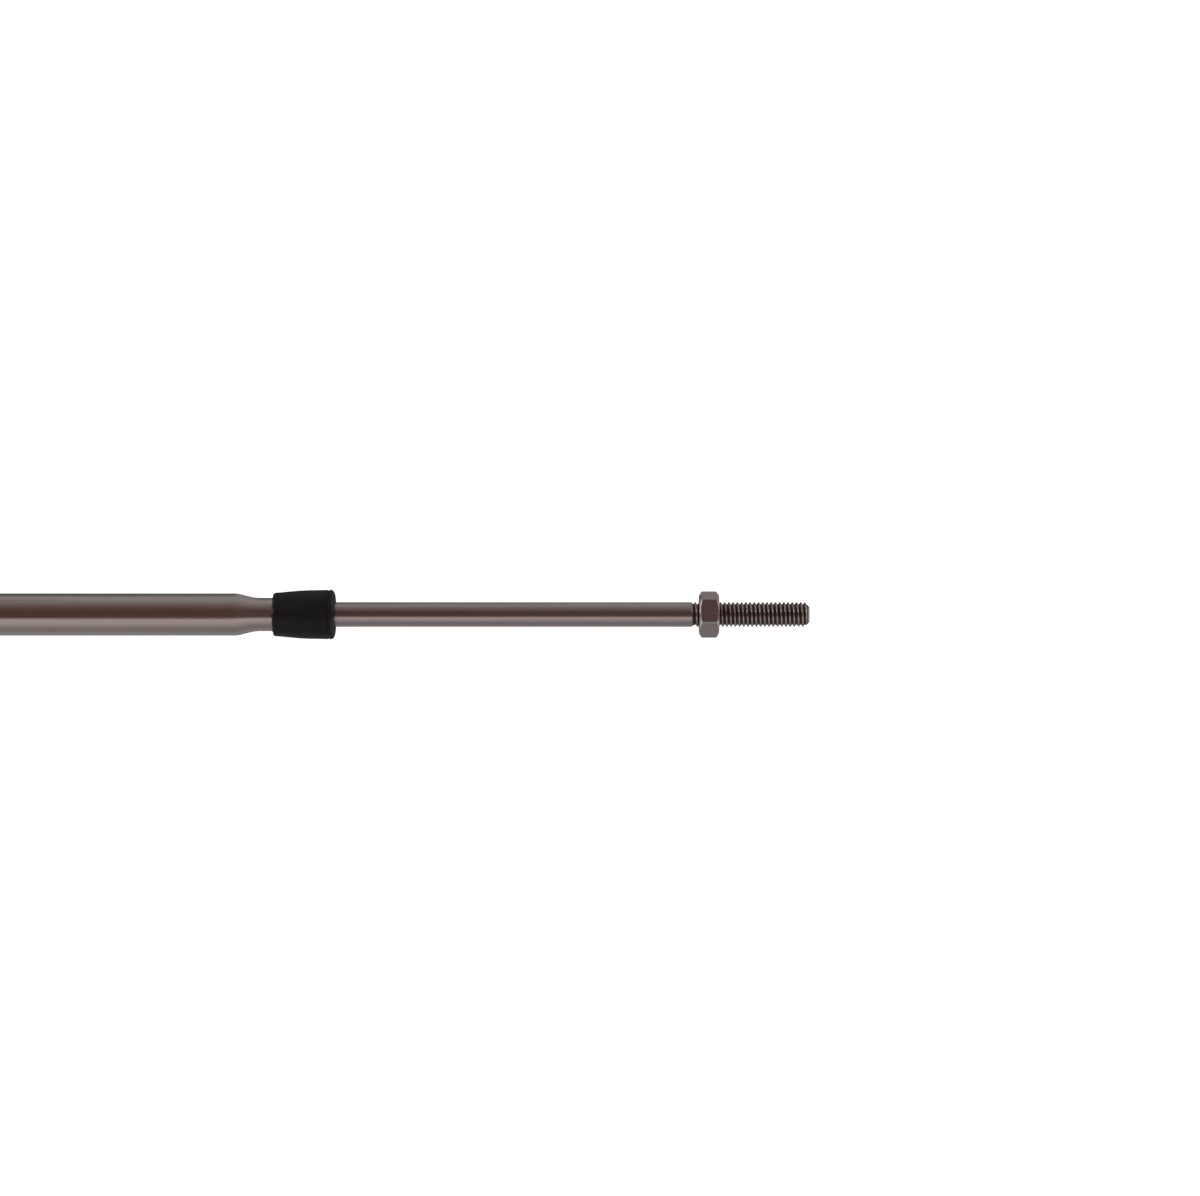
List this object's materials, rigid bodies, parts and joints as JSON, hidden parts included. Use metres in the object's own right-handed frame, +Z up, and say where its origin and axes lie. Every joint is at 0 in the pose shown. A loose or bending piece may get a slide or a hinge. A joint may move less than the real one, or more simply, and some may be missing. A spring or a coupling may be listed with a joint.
{
  "type": "boat steering cable",
  "caption": "Push-pull steering cable: threaded stainless rods with nuts slide in swivelling tubes with rubber wipers, joined by a black conduit",
  "frame": {"origin": "centre of the near rod's threaded end face, with the rod fully out", "axes": "+X points out of the near rod's end along its axis, +Z up from the floor that the cable lies on, +Y towards the hank"},
  "size_m": [0.5066, 0.1208, 0.0306],
  "materials": {
    "rod_steel": "ground stainless bar, warm grey, with faint lengthwise drawing marks",
    "nut_steel": "cold-formed stainless nut, slightly darker than the rod",
    "tube_steel": "drawn stainless tube, warm grey with fine lengthwise marks",
    "hub_steel": "turned stainless hub, crimped on the conduit",
    "wiper_rubber": "matt black moulded rubber",
    "boot_rubber": "matt black moulded rubber bellows",
    "conduit_jacket": "black extruded plastic jacket with a low sheen",
    "tie_nylon": "black nylon cable tie"
  },
  "bodies": {
    "cable": {"near_hub": "hub_steel", "conduit_near_lead": "conduit_jacket", "conduit_hank": "conduit_jacket", "conduit_far_lead": "conduit_jacket", "hank_tie_1": "tie_nylon", "hank_tie_2": "tie_nylon", "hank_tie_3": "tie_nylon", "hank_tie_4": "tie_nylon", "far_hub": "hub_steel"},
    "near_sleeve": {"near_tube": "tube_steel", "near_wiper": "wiper_rubber", "near_boot": "boot_rubber"},
    "near_slider": {"near_rod": "rod_steel", "near_nut": "nut_steel"},
    "far_sleeve": {"far_tube": "tube_steel", "far_wiper": "wiper_rubber", "far_boot": "boot_rubber"},
    "far_slider": {"far_rod": "rod_steel", "far_nut": "nut_steel"}
  },
  "joints": [
    {"name": "near_swivel", "type": "hinge", "parent": "cable", "child": "near_sleeve", "pos_m": [-0.24, 0, 0], "axis": [0, 0, 1], "range_deg": [-8, 8]},
    {"name": "near_slide", "type": "slide", "parent": "near_sleeve", "child": "near_slider", "axis": [1, 0, 0], "range_m": [-0.0762, 0]},
    {"name": "far_swivel", "type": "hinge", "parent": "cable", "child": "far_sleeve", "pos_m": [-0.3598, 0.0926, 0.0113], "axis": [0, 0, 1], "range_deg": [-8, 8]},
    {"name": "far_slide", "type": "slide", "parent": "far_sleeve", "child": "far_slider", "axis": [1, 0, 0], "range_m": [0, 0.0762]}
  ],
  "couplings": [
    {"joint": "far_slide", "follows": "near_slide", "ratio": -1}
  ]
}
